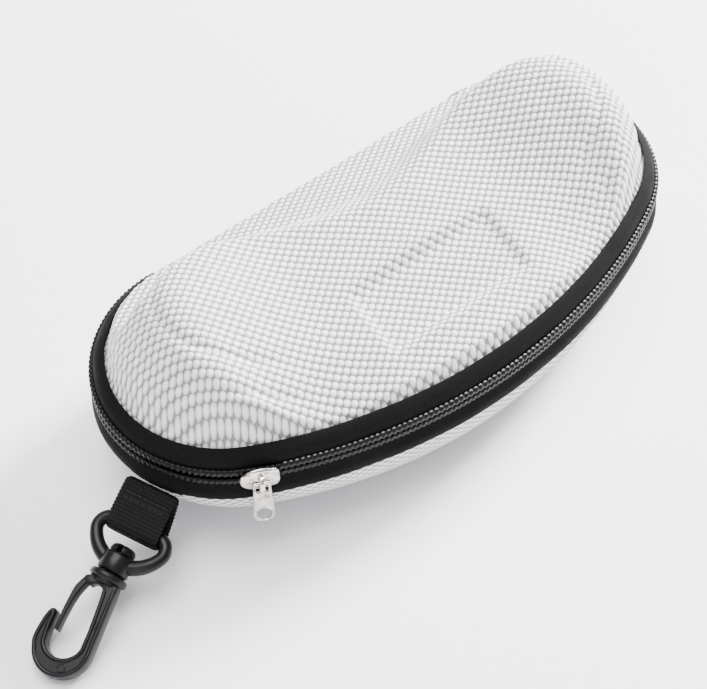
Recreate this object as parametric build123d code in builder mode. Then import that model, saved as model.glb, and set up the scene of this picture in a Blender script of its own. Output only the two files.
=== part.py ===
"""Moulded, zip-round eyewear case with a swivel snap hook on a webbing loop.

Millimetres, +Z up. X runs along the case, -Y is the front and the straight hinge edge is at +Y.
The origin is on the floor, under the middle of the D-shaped zip outline.
"""

from build123d import *
from math import acos, atan2, cos, degrees, hypot, pi, radians, sin, sqrt
import os

os.makedirs("parts", exist_ok=True)

# ---- zip outline, seen from above: a D with a straight back, two end arcs and a wide front arc
HALF_LENGTH = 82.5
FRONT_Y = -45.4
BACK_Y = 33.6
END_RADIUS = 33.6
SMALLEST_RADIUS = 4.5
ZIP_Z = 28.0

# ---- layers of a shell
FABRIC = 0.6
CORE = 3.0
LINING = 0.6
BINDING = 0.6
SHELL = FABRIC + CORE + LINING

# ---- rims, measured up or down from the zip plane
RIM_GAP = 4.2
RIM_Z_LOW = ZIP_Z - RIM_GAP
RIM_Z_TOP = ZIP_Z + RIM_GAP
LOW_RIM_INSET = 1.6
TOP_RIM_INSET = 3.4

# ---- bottom bowl: widest at BOWL_Z, then an elliptical fall to a flat foot
BOWL_Z = 20.5
BOWL_INSET = 0.3
BOWL_SIDE_RUN = 15.0
BOWL_END_RUN = 36.0
BOWL_FRACTIONS = (0.45, 0.75, 0.92, 1.0)
BINDING_DEPTH = 7.0

# ---- top shell walls: height over the floor, inset from the zip outline
TOP_WALLS = (
    (RIM_Z_TOP, TOP_RIM_INSET),
    (ZIP_Z + 5.9, 4.75),
    (42.0, 7.0),
    (46.6, 9.0),
    (51.0, 12.0),
    (54.6, 16.0),
    (58.0, 22.0),
    (60.5, 30.0),
)

# ---- top surface: a low saddle with a raised, kidney-shaped crest and a shelf behind it
# distance from the middle, height of the crest, how far back it lies
CREST = (
    (0.0, 49.0, 3.0),
    (10.0, 49.0, 4.5),
    (20.0, 49.2, 8.0),
    (30.0, 50.2, 11.5),
    (40.0, 53.2, 13.5),
    (50.0, 56.6, 12.5),
    (60.0, 58.6, 9.0),
    (72.0, 58.8, 5.0),
    (90.0, 58.8, 5.0),
)
CREST_FALL = 9.0
LOBE_START = 22.0
LOBE_RUN = 34.0
SADDLE_SLOPE = 0.21
LOBE_SLOPE = 0.04
SADDLE_CURVE = 0.001
LOBE_CURVE = 0.010
SHELF_Z = 43.0
SHELF_Y = 14.0
SHELF_SLOPE = 0.36
GRID_X = 24
GRID_Y = 16

# ---- shallow panel pressed into the front of the top
PANEL_LENGTH = 42.0
PANEL_DEPTH_Y = 17.0
PANEL_Y = -21.0
PANEL_SINK = 2.6
PANEL_TILT = 15.0

# ---- zip: tape and coil profiles are (outward, up) from the outline and the zip plane
TAPE = 0.7
COIL_GAP = 0.5
COIL_WIDTH = 1.5
COIL_HEIGHT = 2.0

# ---- fabric hinge along the back
HINGE_HALF = 46.0
HINGE_GAP = 0.15
TAB_LENGTH = 2.2

# ---- slider
SLIDER_ANGLE = 26.4
PLATE = 1.0
PLATE_OUT = 0.4
INNER_OUT = -3.5
INNER_PLATE = 0.9
WEB = 0.4
ARCH_OUTER = 2.55
ARCH_INNER = 1.55
ARCH_WIDTH = 1.4
PULL_OUT = 2.2
PULL_LENGTH = 15.6
PULL_TOP = 4.8
PULL_BOTTOM = 5.5
PULL_THICK = 0.9

# ---- webbing loop and clip
STRAP_ANGLE = 22.0
WEBBING_WIDTH = 14.2
WEBBING = 1.2
STITCH_DOWN = 1.9
STITCH_UP = 1.56
STITCH_RADIUS = 0.22
STRAP_PIVOT = (2.0, 19.2)
TAIL_PROFILE = ((-1.5, 23.8), (-1.15, 23.8), (0.15, 20.5), (0.45, 19.7), (0.1, 19.4), (-0.7, 20.5))
BAR_REACH = 9.3
BAR_Z = 13.4
BAR_RADIUS = 1.6
CLIP_SLOPE = 16.3
RING_HALF = 9.2
RING_CORNER = 3.0
RING_DEPTH = 9.8
SLEEVE = (7.4, 12.2)
SLEEVE_RADIUS = 3.9
POST_RADIUS = 1.9
POST_CLEARANCE = 0.1
FLANGE = (12.5, 14.3)
FLANGE_RADIUS = 4.7
HOOK_THICK = 4.0
GATE_THICK = 3.0
GATE_ROOT = (15.6, -4.0)
GATE_ROOT_RADIUS = 0.9
FIT = 0.3


def finish(part, name):
    """Labels a sub-part and writes its STEP file."""
    part.part.label = name
    export_step(part.part, f"parts/{name}.step")


def front_arc(half_length, front, back, radius):
    """Centre height and radius of the front arc that meets both end arcs smoothly."""
    cx = half_length - radius
    reach = back - radius - front
    big = (cx**2 + reach**2 - radius**2) / (2 * (reach - radius))
    return front + big, big


def d_points(half_length, front, back, radius):
    """Right-hand points of the D: back corner, middle of the end arc, meeting with the front arc."""
    cx = half_length - radius
    cy = back - radius
    centre_y, _ = front_arc(half_length, front, back, radius)
    low = atan2(cy - centre_y, cx)
    mid = (pi / 2 + low) / 2
    corner = (cx, back)
    middle = (cx + radius * cos(mid), cy + radius * sin(mid))
    meeting = (cx + radius * cos(low), cy + radius * sin(low))
    return corner, middle, meeting


def d_line(half_length, front, back, radius, closed=True):
    """Draws the D in the open BuildLine, from the right back corner round the front."""
    corner, middle, meeting = d_points(half_length, front, back, radius)
    ThreePointArc(corner, middle, meeting)
    ThreePointArc(meeting, (0, front), (-meeting[0], meeting[1]))
    ThreePointArc((-meeting[0], meeting[1]), (-middle[0], middle[1]), (-corner[0], corner[1]))
    if closed:
        Line((-corner[0], corner[1]), corner)


def d_section(z, side, end):
    """A D-shaped face at height z, drawn in from the zip outline."""
    with BuildSketch(Plane.XY.offset(z)) as section:
        with BuildLine():
            radius = max(END_RADIUS - side, SMALLEST_RADIUS)
            d_line(HALF_LENGTH - end, FRONT_Y + side, BACK_Y - side, radius)
        make_face()
    return section.sketch


def bowl(inset, mode=Mode.ADD):
    """Solid of the bottom shell's form, drawn in by the inset."""
    depth = BOWL_Z - inset
    sections = [
        d_section(RIM_Z_LOW, LOW_RIM_INSET + inset, LOW_RIM_INSET + inset),
        d_section(BOWL_Z, BOWL_INSET + inset, BOWL_INSET + inset),
    ]
    for fraction in BOWL_FRACTIONS:
        fall = 1 - sqrt(1 - fraction**2)
        side = BOWL_INSET + inset + BOWL_SIDE_RUN * fall
        end = BOWL_INSET + inset + BOWL_END_RUN * fall
        sections.append(d_section(BOWL_Z - depth * fraction, side, end))
    loft(sections, mode=mode)


def smooth(t):
    """Smooth step from 0 to 1."""
    t = min(max(t, 0.0), 1.0)
    return t * t * (3 - 2 * t)


def crest_at(x):
    """Height of the crest and how far back it lies, at a distance from the middle."""
    for near, far in zip(CREST, CREST[1:]):
        if x <= far[0]:
            break
    share = (x - near[0]) / (far[0] - near[0])
    return near[1] + (far[1] - near[1]) * share, near[2] + (far[2] - near[2]) * share


def top_height(x, y):
    """Height of the top shell's surface over the floor."""
    crest, crest_y = crest_at(abs(x))
    lobe = smooth((abs(x) - LOBE_START) / LOBE_RUN)
    ahead = max(crest_y - y, 0.0)
    slope = SADDLE_SLOPE + (LOBE_SLOPE - SADDLE_SLOPE) * lobe
    curve = SADDLE_CURVE + (LOBE_CURVE - SADDLE_CURVE) * lobe
    platform = crest - slope * ahead - curve * ahead**2
    shelf = SHELF_Z - SHELF_SLOPE * (y - SHELF_Y)
    return shelf + (platform - shelf) * (1 - smooth((y - crest_y) / CREST_FALL))


def top_face(sink):
    """The top surface as one face, lowered by sink."""
    rows = []
    for i in range(GRID_X + 1):
        x = (2 * i / GRID_X - 1) * (HALF_LENGTH + 2)
        row = []
        for j in range(GRID_Y + 1):
            y = FRONT_Y - 2 + (BACK_Y - FRONT_Y + 4) * j / GRID_Y
            row.append(Vector(x, y, top_height(x, y) - sink))
        rows.append(row)
    return Face.make_surface_from_array_of_points(rows, tol=0.05)


def dome_solid(inset):
    """Solid of the top shell's form, drawn in by the inset, with the pressed panel."""
    with BuildPart() as dome:
        loft([d_section(z, drawn_in + inset, drawn_in + inset) for z, drawn_in in TOP_WALLS])
        extrude(top_face(inset), amount=45, dir=(0, 0, -1), mode=Mode.INTERSECT)
        floor_z = top_height(0, PANEL_Y) - PANEL_SINK - inset
        tilted = Vector(0, 0, 1).rotate(Axis.X, PANEL_TILT)
        with BuildSketch(Plane(origin=(0, PANEL_Y, floor_z), x_dir=(1, 0, 0), z_dir=tilted)):
            RectangleRounded(PANEL_LENGTH, PANEL_DEPTH_Y, 4)
        extrude(amount=8, taper=-35, mode=Mode.SUBTRACT)
    return dome.part


def around(profile, closed=False):
    """Sweeps a profile of (outward, up) points along the zip outline, into the open BuildPart."""
    corner, _, _ = d_points(HALF_LENGTH, FRONT_Y, BACK_Y, END_RADIUS)
    with BuildLine(Plane.XY.offset(ZIP_Z)) as path:
        d_line(HALF_LENGTH, FRONT_Y, BACK_Y, END_RADIUS, closed)
    start = Plane(origin=(corner[0], corner[1], ZIP_Z), x_dir=(0, 1, 0), z_dir=(1, 0, 0))
    with BuildSketch(start) as section:
        with BuildLine():
            Polyline(*profile, close=True)
        make_face()
    sweep(section.sketch, path=path.wires()[0])


def tail_sector(mode=Mode.ADD):
    """The sewn-in end of the webbing, between the lower tape and the shell, round the end arc."""
    half_turn = degrees(WEBBING_WIDTH / 2 / END_RADIUS)
    turn = radians(180 + STRAP_ANGLE - half_turn)
    outward = Vector(cos(turn), sin(turn), 0)
    centre = Vector(END_RADIUS - HALF_LENGTH, 0, 0)
    edge = Plane(origin=centre + outward * END_RADIUS, x_dir=outward, z_dir=outward.cross(Vector(0, 0, 1)))
    with BuildSketch(edge) as section:
        Polygon(*TAIL_PROFILE, align=None)
    turning = Axis((centre.X, centre.Y, 0), (0, 0, 1))
    revolve(section.sketch, axis=turning, revolution_arc=2 * half_turn, mode=mode)


def hinge_leaf(profile):
    """Extrudes a profile of (outward, up) points along the straight back."""
    start = Plane(origin=(-HINGE_HALF, BACK_Y, ZIP_Z), x_dir=(0, 1, 0), z_dir=(1, 0, 0))
    with BuildSketch(start) as section:
        with BuildLine():
            Polyline(*profile, close=True)
        make_face()
    extrude(section.sketch, amount=2 * HINGE_HALF)


# ---- bottom shell
with BuildPart() as bottom_outer_fabric:
    bowl(0)
    bowl(FABRIC, Mode.SUBTRACT)
finish(bottom_outer_fabric, "bottom_outer_fabric")

with BuildPart() as bottom_eva_core:
    bowl(FABRIC)
    bowl(FABRIC + CORE, Mode.SUBTRACT)
finish(bottom_eva_core, "bottom_eva_core")

with BuildPart() as bottom_lining:
    bowl(FABRIC + CORE)
    bowl(SHELL, Mode.SUBTRACT)
finish(bottom_lining, "bottom_lining")

with BuildPart() as bottom_rim_binding:
    bowl(SHELL)
    bowl(SHELL + BINDING, Mode.SUBTRACT)
    with BuildSketch(Plane.XY.offset(RIM_Z_LOW - BINDING_DEPTH)):
        Rectangle(3 * HALF_LENGTH, 3 * HALF_LENGTH)
    extrude(amount=-RIM_Z_LOW, mode=Mode.SUBTRACT)
    around(
        (
            (-LOW_RIM_INSET - SHELL - BINDING, -RIM_GAP),
            (-2.4, -RIM_GAP),
            (-2.4, -RIM_GAP + BINDING),
            (-LOW_RIM_INSET - SHELL - BINDING, -RIM_GAP + BINDING),
        ),
        closed=True,
    )
finish(bottom_rim_binding, "bottom_rim_binding")

with BuildPart() as lower_zipper_tape:
    around(
        (
            (-1.5, -COIL_GAP),
            (-1.5, -2.6),
            (-0.8, -4.2),
            (0.5, -7.5),
            (0.5 - TAPE, -7.5),
            (-0.8 - TAPE, -4.2),
            (-1.5 - TAPE, -2.6),
            (-1.5 - TAPE, -COIL_GAP),
        )
    )
    bowl(0, Mode.SUBTRACT)
    tail_sector(Mode.SUBTRACT)
finish(lower_zipper_tape, "lower_zipper_tape")

with BuildPart() as lower_coil_row:
    around(
        (
            (-COIL_WIDTH, -COIL_GAP),
            (-0.3, -COIL_GAP),
            (0, -COIL_GAP - 0.5),
            (0, -COIL_GAP - COIL_HEIGHT + 0.5),
            (-0.3, -COIL_GAP - COIL_HEIGHT),
            (-COIL_WIDTH, -COIL_GAP - COIL_HEIGHT),
        )
    )
finish(lower_coil_row, "lower_coil_row")

with BuildPart() as hinge_lower_leaf:
    hinge_leaf(((0, -HINGE_GAP), (0.5, -7.5), (-0.2, -7.5), (-1.5, -4.2), (-0.7, -HINGE_GAP)))
    bowl(0, Mode.SUBTRACT)
finish(hinge_lower_leaf, "hinge_lower_leaf")


def zip_tab(side):
    """Folded tape end that is sewn over the end of the chain, on the bottom shell."""
    middle = side * (HINGE_HALF + 0.3 + TAB_LENGTH / 2)
    across = Plane(origin=(middle, BACK_Y, ZIP_Z), x_dir=(0, 1, 0), z_dir=(1, 0, 0))
    with BuildSketch(across) as section:
        with BuildLine():
            Polyline((-1.4, -0.6), (0.1, -0.6), (0.6, -6.5), (0.0, -6.5), (-1.4, -3.0), close=True)
        make_face()
    extrude(section.sketch, amount=TAB_LENGTH / 2, both=True)


with BuildPart() as zip_start_tab:
    zip_tab(-1)
finish(zip_start_tab, "zip_start_tab")

with BuildPart() as zip_end_tab:
    zip_tab(1)
finish(zip_end_tab, "zip_end_tab")

# ---- top shell
DOMES = [dome_solid(inset) for inset in (0, FABRIC, FABRIC + CORE, SHELL)]

with BuildPart() as top_outer_fabric:
    add(DOMES[0])
    add(DOMES[1], mode=Mode.SUBTRACT)
finish(top_outer_fabric, "top_outer_fabric")

with BuildPart() as top_eva_core:
    add(DOMES[1])
    add(DOMES[2], mode=Mode.SUBTRACT)
finish(top_eva_core, "top_eva_core")

with BuildPart() as top_lining:
    add(DOMES[2])
    add(DOMES[3], mode=Mode.SUBTRACT)
finish(top_lining, "top_lining")

with BuildPart() as top_rim_binding:
    inner = -TOP_RIM_INSET - SHELL
    around(
        (
            (inner - BINDING, RIM_GAP - BINDING),
            (-TOP_RIM_INSET, RIM_GAP - BINDING),
            (-TOP_RIM_INSET, RIM_GAP),
            (inner, RIM_GAP),
            (inner - 1.45, RIM_GAP + 1.7),
            (inner - 1.45 - BINDING, RIM_GAP + 1.7),
            (inner - BINDING, RIM_GAP),
        ),
        closed=True,
    )
    add(top_eva_core.part, mode=Mode.SUBTRACT)
    add(top_lining.part, mode=Mode.SUBTRACT)
finish(top_rim_binding, "top_rim_binding")

with BuildPart() as upper_zipper_tape:
    around(
        (
            (-1.5, COIL_GAP),
            (-1.5, 2.6),
            (-2.6, 4.2),
            (-4.0, 5.9),
            (-4.0 - TAPE, 5.9),
            (-2.6 - TAPE, 4.2),
            (-1.5 - TAPE, 2.6),
            (-1.5 - TAPE, COIL_GAP),
        )
    )
finish(upper_zipper_tape, "upper_zipper_tape")

with BuildPart() as upper_coil_row:
    around(
        (
            (-COIL_WIDTH, COIL_GAP),
            (-0.3, COIL_GAP),
            (0, COIL_GAP + 0.5),
            (0, COIL_GAP + COIL_HEIGHT - 0.5),
            (-0.3, COIL_GAP + COIL_HEIGHT),
            (-COIL_WIDTH, COIL_GAP + COIL_HEIGHT),
        )
    )
finish(upper_coil_row, "upper_coil_row")

with BuildPart() as hinge_upper_leaf:
    hinge_leaf(
        (
            (0, HINGE_GAP),
            (-0.9, 2.2),
            (-2.6, 4.2),
            (-4.0, 5.9),
            (-4.7, 5.9),
            (-3.3, 4.2),
            (-1.6, 2.2),
            (-0.7, HINGE_GAP),
        )
    )
finish(hinge_upper_leaf, "hinge_upper_leaf")

# ---- slider: local x along the chain, y up, z outward
FRONT_CENTRE_Y, FRONT_RADIUS = front_arc(HALF_LENGTH, FRONT_Y, BACK_Y, END_RADIUS)
slider_out = Vector(-sin(radians(SLIDER_ANGLE)), -cos(radians(SLIDER_ANGLE)), 0)
slider_along = Vector(cos(radians(SLIDER_ANGLE)), -sin(radians(SLIDER_ANGLE)), 0)
slider_origin = Vector(0, FRONT_CENTRE_Y, ZIP_Z) + slider_out * FRONT_RADIUS
SLIDER = Plane(origin=slider_origin, x_dir=slider_along, z_dir=slider_out)
PLATE_TOP = PLATE_OUT + PLATE


def plate_outline(scale):
    """Slider plate: a narrow nose towards the open rows and a square tail."""
    half = (
        (-4.8 * scale, 1.8 * scale),
        (-2.4 * scale, 3.8 * scale),
        (1.4 * scale, 3.8 * scale),
        (4.6 * scale, 3.4 * scale),
    )
    Polygon(*half, *[(x, -y) for x, y in reversed(half)], align=None)


with BuildPart() as slider_body:
    with BuildSketch(SLIDER.offset(PLATE_OUT)) as outer_plate:
        plate_outline(1.0)
        fillet(outer_plate.vertices(), 0.6)
    extrude(amount=PLATE)
    with BuildSketch(SLIDER.offset(INNER_OUT)) as inner_plate:
        plate_outline(0.75)
        fillet(inner_plate.vertices(), 0.4)
    extrude(amount=INNER_PLATE)
    with BuildSketch(SLIDER.offset(INNER_OUT + INNER_PLATE)):
        with Locations((-1.2, 0)):
            Rectangle(5.2, WEB)
    extrude(amount=PLATE_OUT - INNER_OUT - INNER_PLATE)
    with BuildSketch(SLIDER.offset(PLATE_OUT)):
        with Locations((1.2, -3.25)):
            Rectangle(5.0, 0.6)
    extrude(amount=-0.9)
    chamfer(slider_body.faces().sort_by(Axis(SLIDER.origin, SLIDER.z_dir))[-1].edges(), 0.25)
finish(slider_body, "slider_body")

with BuildPart() as slider_bridge:
    arch_plane = Plane(origin=SLIDER.origin, x_dir=(0, 0, 1), z_dir=SLIDER.x_dir)
    with BuildSketch(arch_plane) as arch:
        with Locations((0, PLATE_TOP + ARCH_OUTER / 2)):
            Rectangle(2 * ARCH_OUTER, ARCH_OUTER)
        fillet(arch.vertices().group_by(Axis(arch_plane.origin, SLIDER.z_dir))[-1], 1.2)
        with Locations((0, PLATE_TOP + ARCH_INNER / 2)):
            Rectangle(2 * ARCH_INNER, ARCH_INNER, mode=Mode.SUBTRACT)
    extrude(amount=ARCH_WIDTH / 2, both=True)
finish(slider_bridge, "slider_bridge")

with BuildPart() as pull_tab:
    with BuildSketch(SLIDER.offset(PULL_OUT - PULL_THICK / 2)) as tab:
        with BuildLine():
            Polyline(
                (-PULL_TOP / 2, 0.45),
                (PULL_TOP / 2, 0.45),
                (PULL_BOTTOM / 2, -PULL_LENGTH),
                (-PULL_BOTTOM / 2, -PULL_LENGTH),
                close=True,
            )
        make_face()
        fillet(tab.vertices().group_by(Axis.Z)[0], 2.4)
        fillet(tab.vertices().group_by(Axis.Z)[-1], 0.4)
        with Locations((0, -1.95)):
            Rectangle(3.2, 2.9, mode=Mode.SUBTRACT)
        with Locations((0, -12.2)):
            Ellipse(1.7, 2.5, mode=Mode.SUBTRACT)
    extrude(amount=PULL_THICK)
finish(pull_tab, "pull_tab")

# ---- strap: local x outward from the case, y up, z across the webbing
strap_out = Vector(-cos(radians(STRAP_ANGLE)), -sin(radians(STRAP_ANGLE)), 0)
strap_across = strap_out.cross(Vector(0, 0, 1))
strap_origin = Vector(-(HALF_LENGTH - END_RADIUS), 0, 0) + strap_out * END_RADIUS
STRAP = Plane(origin=strap_origin, x_dir=strap_out, z_dir=strap_across)
BAR = (BAR_REACH, BAR_Z)


def teardrop(bar_radius, root_radius):
    """Two circles, at the strap's root and at the ring's bar, joined by their outer tangents."""
    dx = BAR[0] - STRAP_PIVOT[0]
    dy = BAR[1] - STRAP_PIVOT[1]
    turn = acos((root_radius - bar_radius) / hypot(dx, dy))
    along = atan2(dy, dx)
    corners = []
    for sign in (1, -1):
        ux = cos(along + sign * turn)
        uy = sin(along + sign * turn)
        ends = [
            (STRAP_PIVOT[0] + root_radius * ux, STRAP_PIVOT[1] + root_radius * uy),
            (BAR[0] + bar_radius * ux, BAR[1] + bar_radius * uy),
        ]
        corners += ends if sign == 1 else ends[::-1]
    with Locations(STRAP_PIVOT):
        Circle(root_radius)
    with Locations(BAR):
        Circle(bar_radius)
    Polygon(*corners, align=None)


def stitch_row(mode=Mode.ADD):
    """Thread across the webbing, just below its root, on the upper layer."""
    along = Vector(BAR[0] - STRAP_PIVOT[0], BAR[1] - STRAP_PIVOT[1], 0).normalized()
    place = Vector(*STRAP_PIVOT, 0) + along * STITCH_DOWN + Vector(-along.Y, along.X, 0) * STITCH_UP
    with BuildSketch(STRAP) as section:
        with Locations((place.X, place.Y)):
            Circle(STITCH_RADIUS)
    extrude(section.sketch, amount=WEBBING_WIDTH / 2 - 1.2, both=True, mode=mode)


LOOP_RADIUS = BAR_RADIUS + 0.25
with BuildPart() as webbing_loop:
    with BuildSketch(STRAP):
        teardrop(LOOP_RADIUS + WEBBING, WEBBING)
    extrude(amount=WEBBING_WIDTH / 2, both=True)
    with BuildSketch(STRAP):
        teardrop(LOOP_RADIUS, 0.2)
    extrude(amount=WEBBING_WIDTH, both=True, mode=Mode.SUBTRACT)
    stitch_row(Mode.SUBTRACT)
finish(webbing_loop, "webbing_loop")

with BuildPart() as webbing_stitching:
    stitch_row()
finish(webbing_stitching, "webbing_stitching")

with BuildPart() as webbing_tail:
    tail_sector()
    bowl(0, Mode.SUBTRACT)
finish(webbing_tail, "webbing_tail")

# ---- clip: local x along the clip from the ring's straight bar, y across, z up through the hook
bar_centre = strap_origin + strap_out * BAR_REACH + Vector(0, 0, BAR_Z)
clip_along = strap_out * cos(radians(CLIP_SLOPE)) + Vector(0, 0, -sin(radians(CLIP_SLOPE)))
clip_up = strap_out * sin(radians(CLIP_SLOPE)) + Vector(0, 0, cos(radians(CLIP_SLOPE)))
CLIP = Plane(origin=bar_centre, x_dir=clip_along, z_dir=clip_up)


def clip_cross(at):
    """Plane across the clip's length, at a distance from the ring's bar."""
    return Plane(origin=CLIP.origin + CLIP.x_dir * at, x_dir=CLIP.y_dir, z_dir=CLIP.x_dir)


def ring_line():
    """Centre line of the D ring, straight bar at x 0 and the sleeve's side at RING_DEPTH."""
    corner, middle, meeting = d_points(RING_HALF, -RING_DEPTH, 0, RING_CORNER)
    right = [(-y, x) for x, y in (corner, middle, meeting)]
    left = [(x, -y) for x, y in right]
    ThreePointArc(*right)
    ThreePointArc(right[2], (RING_DEPTH, 0), left[2])
    ThreePointArc(*reversed(left))
    Line(left[0], right[0])


with BuildPart() as swivel_ring:
    with BuildLine(CLIP) as ring_path:
        ring_line()
    with BuildSketch(Plane(origin=CLIP.origin, x_dir=CLIP.x_dir, z_dir=CLIP.y_dir)):
        Circle(BAR_RADIUS)
    sweep(path=ring_path.wires()[0])
    with BuildSketch(clip_cross(SLEEVE[0])):
        Circle(SLEEVE_RADIUS)
    extrude(amount=SLEEVE[1] - SLEEVE[0])
    with BuildSketch(clip_cross(SLEEVE[0] - 2)):
        Circle(POST_RADIUS + POST_CLEARANCE)
    extrude(amount=SLEEVE[1] - SLEEVE[0] + 4, mode=Mode.SUBTRACT)
finish(swivel_ring, "swivel_ring")

# hook outline: spine on the +y side, J at the far end, tip on the -y side
HOOK_END = 39.5
with BuildPart() as snap_hook:
    with BuildSketch(CLIP) as hook_shape:
        with BuildLine():
            Polyline((FLANGE[1] - 0.2, -3.6), (FLANGE[1] - 0.2, 3.7), (16.2, 4.1), (22.0, 4.9), (31.8, 6.3))
            ThreePointArc((31.8, 6.3), (HOOK_END, -0.6), (34.6, -7.9))
            Polyline((34.6, -7.9), (25.9, -8.3), (25.6, -6.4), (33.0, -5.2))
            ThreePointArc((33.0, -5.2), (34.9, -1.4), (31.2, 3.3))
            Polyline((31.2, 3.3), (22.4, 2.0), (17.4, 1.0))
            ThreePointArc((17.4, 1.0), (15.9, -0.9), (17.0, -2.6))
            Polyline((17.0, -2.6), (16.4, -5.2), (FLANGE[1] - 0.2, -3.6))
        make_face()
        with Locations(GATE_ROOT):
            Circle(GATE_ROOT_RADIUS + FIT, mode=Mode.SUBTRACT)
        with Locations((GATE_ROOT[0] + 1.5, GATE_ROOT[1] - 0.3)):
            Rectangle(3.0, 2 * (GATE_ROOT_RADIUS + FIT), mode=Mode.SUBTRACT)
    extrude(amount=HOOK_THICK / 2, both=True)
    with BuildSketch(clip_cross(FLANGE[0])):
        Circle(FLANGE_RADIUS)
    extrude(amount=FLANGE[1] - FLANGE[0])
    with BuildSketch(clip_cross(SLEEVE[0] - 0.3)):
        Circle(POST_RADIUS)
    extrude(amount=FLANGE[0] - SLEEVE[0] + 0.8)
    with BuildSketch(clip_cross(SLEEVE[0] - 1.5)):
        Circle(POST_RADIUS + 0.8)
    extrude(amount=1.2, taper=-8)
    with BuildSketch(CLIP):
        with Locations((SLEEVE[0], 0)):
            Rectangle(4.5, 0.8)
    extrude(amount=POST_RADIUS + 2, both=True, mode=Mode.SUBTRACT)
finish(snap_hook, "snap_hook")

with BuildPart() as hook_gate:
    with BuildSketch(CLIP):
        with Locations(GATE_ROOT):
            Circle(GATE_ROOT_RADIUS)
        with BuildLine():
            gx, gy = GATE_ROOT
            Spline((gx, gy - GATE_ROOT_RADIUS), (20.5, -5.6), (29.4, -4.9))
            Line((29.4, -4.9), (29.6, -4.1))
            Spline((29.6, -4.1), (20.8, -4.4), (gx, gy + GATE_ROOT_RADIUS))
            Line((gx, gy + GATE_ROOT_RADIUS), (gx, gy - GATE_ROOT_RADIUS))
        make_face()
    extrude(amount=GATE_THICK / 2, both=True)
finish(hook_gate, "hook_gate")
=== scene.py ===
from math import acos, atan2, cos, hypot, pi, radians, sin, sqrt

import bpy
import numpy as np
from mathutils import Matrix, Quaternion, Vector


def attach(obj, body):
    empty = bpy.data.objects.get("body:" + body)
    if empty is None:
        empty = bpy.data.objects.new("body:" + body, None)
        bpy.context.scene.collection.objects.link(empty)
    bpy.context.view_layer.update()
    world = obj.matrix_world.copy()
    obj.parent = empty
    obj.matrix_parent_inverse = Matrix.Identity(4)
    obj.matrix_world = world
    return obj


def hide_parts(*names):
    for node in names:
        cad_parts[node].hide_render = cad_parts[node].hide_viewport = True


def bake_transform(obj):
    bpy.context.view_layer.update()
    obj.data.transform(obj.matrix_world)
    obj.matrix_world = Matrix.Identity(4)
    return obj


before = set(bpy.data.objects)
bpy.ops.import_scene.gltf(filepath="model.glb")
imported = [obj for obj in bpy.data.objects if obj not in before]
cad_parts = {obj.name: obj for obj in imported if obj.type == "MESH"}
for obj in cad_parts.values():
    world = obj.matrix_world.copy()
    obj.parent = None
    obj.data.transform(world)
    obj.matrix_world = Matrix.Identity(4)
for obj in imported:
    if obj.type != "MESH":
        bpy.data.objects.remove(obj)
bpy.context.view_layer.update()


MM = 0.001

# ---------------------------------------------------------------- camera
CAM_AT = (-178.97, -216.94, 362.41)
CAM_AZ, CAM_EL, CAM_ROLL = -37.805, 52.584, -1.242
CAM_LENS = 88.17


def add(name, data):
    """A new object that shows some data in the scene."""
    obj = bpy.data.objects.new(name, data)
    bpy.context.scene.collection.objects.link(obj)
    return obj


def place_camera():
    data = bpy.data.cameras.new("Camera")
    camera = add("Camera", data)
    data.lens = CAM_LENS
    data.sensor_width = 36.0
    data.clip_start = 0.01
    data.clip_end = 20.0
    az, el = radians(CAM_AZ), radians(CAM_EL)
    back = Vector((sin(az) * cos(el), -cos(az) * cos(el), sin(el)))
    camera.location = Vector(CAM_AT) * MM
    roll = Quaternion((0, 0, 1), radians(CAM_ROLL))
    camera.rotation_euler = (back.to_track_quat("Z", "Y") @ roll).to_euler()
    bpy.context.scene.camera = camera


place_camera()

# ---------------------------------------------------------------- form, in millimetres
HALF_LENGTH, FRONT_Y, BACK_Y, END_RADIUS = 82.5, -45.4, 33.6, 33.6
ZIP_Z = 28.0
SMALLEST_RADIUS = 4.5
SHELL = 4.2
PITCH_X, PITCH_Y = 1.4, 1.07
REACH = BACK_Y - END_RADIUS - FRONT_Y
END_X = HALF_LENGTH - END_RADIUS
FRONT_RADIUS = (END_X**2 + REACH**2 - END_RADIUS**2) / (2 * (REACH - END_RADIUS))
FRONT_CENTRE = FRONT_Y + FRONT_RADIUS

WALL_IN = (2.0, 3.4, 4.75, 7.0, 9.0, 12.0, 16.0, 22.0, 30.0, 45.0)
WALL_Z = (30.4, 32.2, 33.9, 42.0, 46.6, 51.0, 54.6, 58.0, 60.5, 64.0)
CREST_X = (0.0, 10.0, 20.0, 30.0, 40.0, 50.0, 60.0, 72.0)
CREST_Z = (49.0, 49.0, 49.2, 50.2, 53.2, 56.6, 58.6, 58.8)
CREST_Y = (3.0, 4.5, 8.0, 11.5, 13.5, 12.5, 9.0, 5.0)
CREST_FALL = 9.0
LOBE_START, LOBE_RUN = 22, 34
SADDLE_SLOPE, SLOPE_LOST = 0.21, 0.17
SADDLE_CURVE, CURVE_GAINED = 0.001, 0.009
WALL_BLEND = 3.0
GROOVE = 0.8
GROOVE_LINES = ((10.5, 1.1), (18.0, 1.3))  # inset and half width of each
LID_EDGE, LID_EDGE_Z = 3.4, 32.2
SHELF_Z, SHELF_Y, SHELF_SLOPE = 43.0, 14.0, 0.36
PANEL_X, PANEL_Y, PANEL_HALF, PANEL_SINK, PANEL_TILT = 19.5, -21.0, 7.0, 2.6, 15.0
PANEL_EDGE = 3.2

RIM_Z, BELLY_Z, RIM_INSET, BELLY_INSET, BELLY_AT = 23.8, 20.5, 1.6, 0.3, 0.12
FOOT_SIDE, FOOT_END = 15, 36
STAR_Y, STAR_SPINE = 2.0, 0.55


def smooth(t):
    t = np.clip(t, 0, 1)
    return t * t * (3 - 2 * t)


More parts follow.
